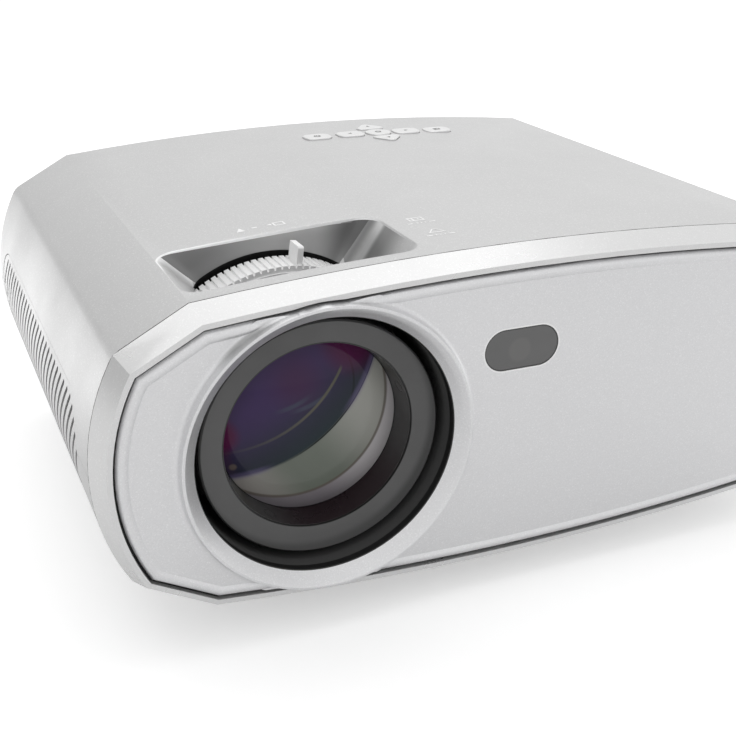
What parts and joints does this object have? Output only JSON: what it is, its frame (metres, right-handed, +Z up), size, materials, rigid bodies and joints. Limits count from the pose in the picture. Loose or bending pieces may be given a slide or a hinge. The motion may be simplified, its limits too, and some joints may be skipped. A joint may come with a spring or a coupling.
{
  "type": "mini projector",
  "caption": "Silver home LED projector with a front projection lens, a focus wheel in a top well, key pad, side grilles, rear ports, feet and a screw-up front foot.",
  "frame": {"origin": "on the table under the middle of the case, at the bottom of the feet", "axes": "+Z up, the lens looks along -Y, +X to the right of someone who looks at the front"},
  "size_m": [0.329, 0.246, 0.1394],
  "materials": {
    "shell_plastic": "silver-grey paint over moulded plastic, satin",
    "frame_plastic": "bright silver paint, satin to gloss",
    "panel_plastic": "silver metallic paint with a fine flake",
    "seal_rubber": "matt black seal",
    "screw_steel": "plain steel",
    "smoked_plastic": "dark smoked, polished",
    "board": "green solder mask",
    "black_plastic": "matt black",
    "barrel_plastic": "matt charcoal",
    "lens_glass": "polished glass with an anti-reflection coating",
    "wheel_plastic": "silver satin",
    "grille_plastic": "silver-grey satin",
    "dark_plastic": "textured dark grey",
    "port_metal": "nickel-plated shells",
    "component": "mixed electronic components",
    "lcd_glass": "dark display glass",
    "clear_plastic": "clear grooved acrylic",
    "mirror": "front-surface mirror",
    "led": "phosphor lamp on a white board",
    "sink_aluminium": "extruded, plain",
    "fan_plastic": "black moulded",
    "speaker_black": "paper cone in a black basket",
    "foot_rubber": "matt black rubber",
    "insert_brass": "turned brass",
    "dial_plastic": "dark grey, knurled",
    "post_plastic": "dark grey",
    "key_plastic": "silver satin"
  },
  "bodies": {
    "case": {"top_cover": "shell_plastic", "bottom_cover": "shell_plastic", "front_frame": "frame_plastic", "front_panel": "panel_plastic", "panel_gasket": "seal_rubber", "panel_screws": "screw_steel", "ir_window": "smoked_plastic", "ir_receiver": "board", "lens_shroud": "black_plastic", "lens_sleeve": "black_plastic", "wheel_retainer": "screw_steel", "side_grille_left": "grille_plastic", "side_grille_right": "grille_plastic", "key_board": "board", "rear_panel": "dark_plastic", "rear_window": "smoked_plastic", "main_board": "board", "port_connectors": "port_metal", "mains_inlet": "black_plastic", "power_board": "board", "power_parts": "component", "short_screws": "screw_steel", "engine_housing": "black_plastic", "engine_lid": "black_plastic", "lcd_panel": "lcd_glass", "fresnel_lenses": "clear_plastic", "heat_glass": "lens_glass", "condenser_holder": "black_plastic", "condenser_lens": "lens_glass", "light_mirror": "mirror", "led_module": "led", "heat_sink": "sink_aluminium", "fan_frame_right": "black_plastic", "fan_frame_left": "black_plastic", "speakers": "speaker_black", "rubber_feet": "foot_rubber", "mount_inserts": "insert_brass", "tripod_insert": "insert_brass", "case_screws": "screw_steel", "post_guide": "black_plastic"},
    "focus_wheel": {"focus_wheel": "wheel_plastic"},
    "lens_barrel": {"lens_barrel": "barrel_plastic", "cam_pins": "screw_steel", "retaining_ring": "barrel_plastic", "front_lens": "lens_glass", "inner_lenses": "lens_glass"},
    "fan_rotor_right": {"fan_rotor_right": "fan_plastic"},
    "fan_rotor_left": {"fan_rotor_left": "fan_plastic"},
    "elevator_dial": {"elevator_dial": "dial_plastic", "dial_collar": "screw_steel"},
    "elevator_post": {"elevator_post": "post_plastic", "post_tip": "foot_rubber"},
    "key_power": {"key_power": "key_plastic"},
    "key_left": {"key_left": "key_plastic"},
    "key_ok": {"key_ok": "key_plastic"},
    "key_right": {"key_right": "key_plastic"},
    "key_source": {"key_source": "key_plastic"},
    "key_down": {"key_down": "key_plastic"},
    "key_up": {"key_up": "key_plastic"}
  },
  "joints": [
    {"name": "focus_turn", "type": "hinge", "parent": "case", "child": "focus_wheel", "pos_m": [-0.0812, -0.063, 0.0743], "axis": [0, 1, 0], "range_deg": [-36, 24]},
    {"name": "barrel_slide", "type": "slide", "parent": "case", "child": "lens_barrel", "axis": [0, -1, 0], "range_m": [-0.0046, 0.0031]},
    {"name": "right_fan_spin", "type": "hinge", "parent": "case", "child": "fan_rotor_right", "pos_m": [0.125, 0.027, 0.0743], "axis": [1, 0, 0], "continuous": true},
    {"name": "left_fan_spin", "type": "hinge", "parent": "case", "child": "fan_rotor_left", "pos_m": [-0.136, 0.035, 0.0743], "axis": [1, 0, 0], "continuous": true},
    {"name": "dial_turn", "type": "hinge", "parent": "case", "child": "elevator_dial", "pos_m": [0, -0.067, 0.0083], "axis": [0, 0, 1], "range_deg": [0, 1440]},
    {"name": "post_lift", "type": "slide", "parent": "case", "child": "elevator_post", "axis": [0, 0, -1], "range_m": [0, 0.012]},
    {"name": "key_power_press", "type": "slide", "parent": "case", "child": "key_power", "axis": [0, 0, -1], "range_m": [0, 0.0008], "stiffness_N_per_m": 600, "springref_m": -0.0004},
    {"name": "key_left_press", "type": "slide", "parent": "case", "child": "key_left", "axis": [0, 0, -1], "range_m": [0, 0.0008], "stiffness_N_per_m": 600, "springref_m": -0.0004},
    {"name": "key_ok_press", "type": "slide", "parent": "case", "child": "key_ok", "axis": [0, 0, -1], "range_m": [0, 0.0008], "stiffness_N_per_m": 600, "springref_m": -0.0004},
    {"name": "key_right_press", "type": "slide", "parent": "case", "child": "key_right", "axis": [0, 0, -1], "range_m": [0, 0.0008], "stiffness_N_per_m": 600, "springref_m": -0.0004},
    {"name": "key_source_press", "type": "slide", "parent": "case", "child": "key_source", "axis": [0, 0, -1], "range_m": [0, 0.0008], "stiffness_N_per_m": 600, "springref_m": -0.0004},
    {"name": "key_down_press", "type": "slide", "parent": "case", "child": "key_down", "axis": [0, 0, -1], "range_m": [0, 0.0008], "stiffness_N_per_m": 600, "springref_m": -0.0004},
    {"name": "key_up_press", "type": "slide", "parent": "case", "child": "key_up", "axis": [0, 0, -1], "range_m": [0, 0.0008], "stiffness_N_per_m": 600, "springref_m": -0.0004}
  ],
  "couplings": [
    {"joint": "barrel_slide", "follows": "focus_turn", "m_per_rad": 0.007162},
    {"joint": "post_lift", "follows": "dial_turn", "m_per_rad": 0.00047746}
  ]
}
